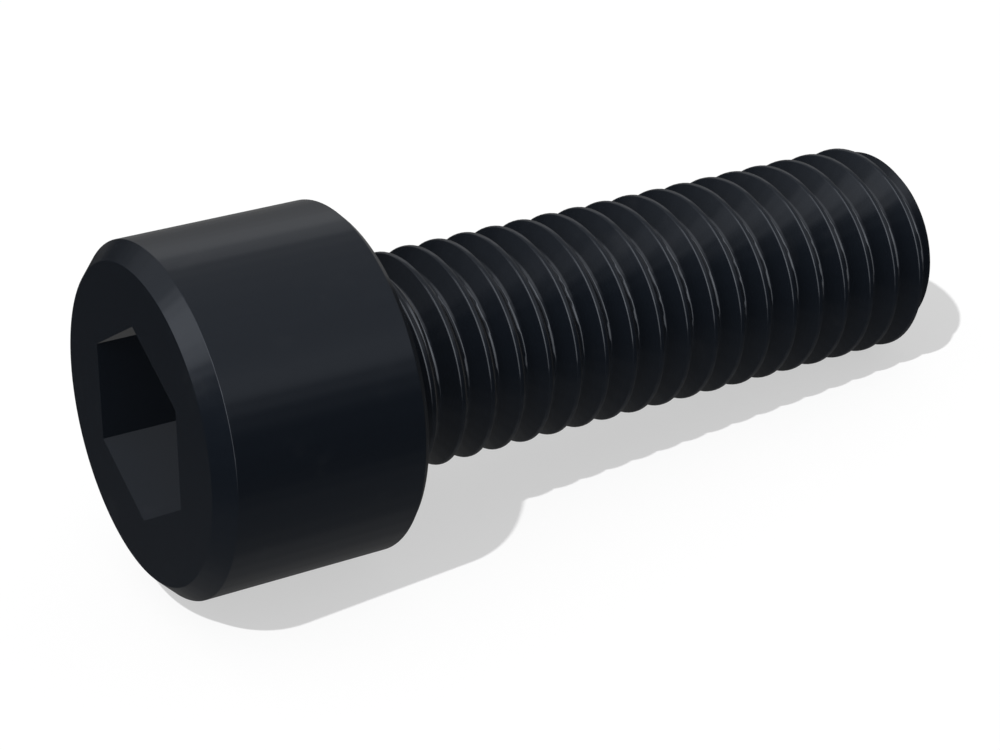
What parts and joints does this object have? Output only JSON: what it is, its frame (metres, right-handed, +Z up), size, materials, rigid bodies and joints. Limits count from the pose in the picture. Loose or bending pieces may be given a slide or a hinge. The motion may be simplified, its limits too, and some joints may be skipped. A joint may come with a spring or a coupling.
{
  "type": "socket head cap screw",
  "caption": "Socket head cap screw with a plain cylindrical head, a hexagon socket and a coarse right-hand thread up to the head.",
  "frame": {"origin": "middle of the footprint box of the screw as it lies, on the floor", "axes": "+X along the screw towards its tip, +Z up from the floor, +Y to its left; the screw's own axis dips 5.8 degrees below +X, because the head is wider than the thread"},
  "size_m": [0.041, 0.016, 0.0168],
  "materials": {
    "screw": "black oxide on alloy steel, lightly oiled"
  },
  "bodies": {
    "root": {"screw": "screw"}
  },
  "joints": []
}
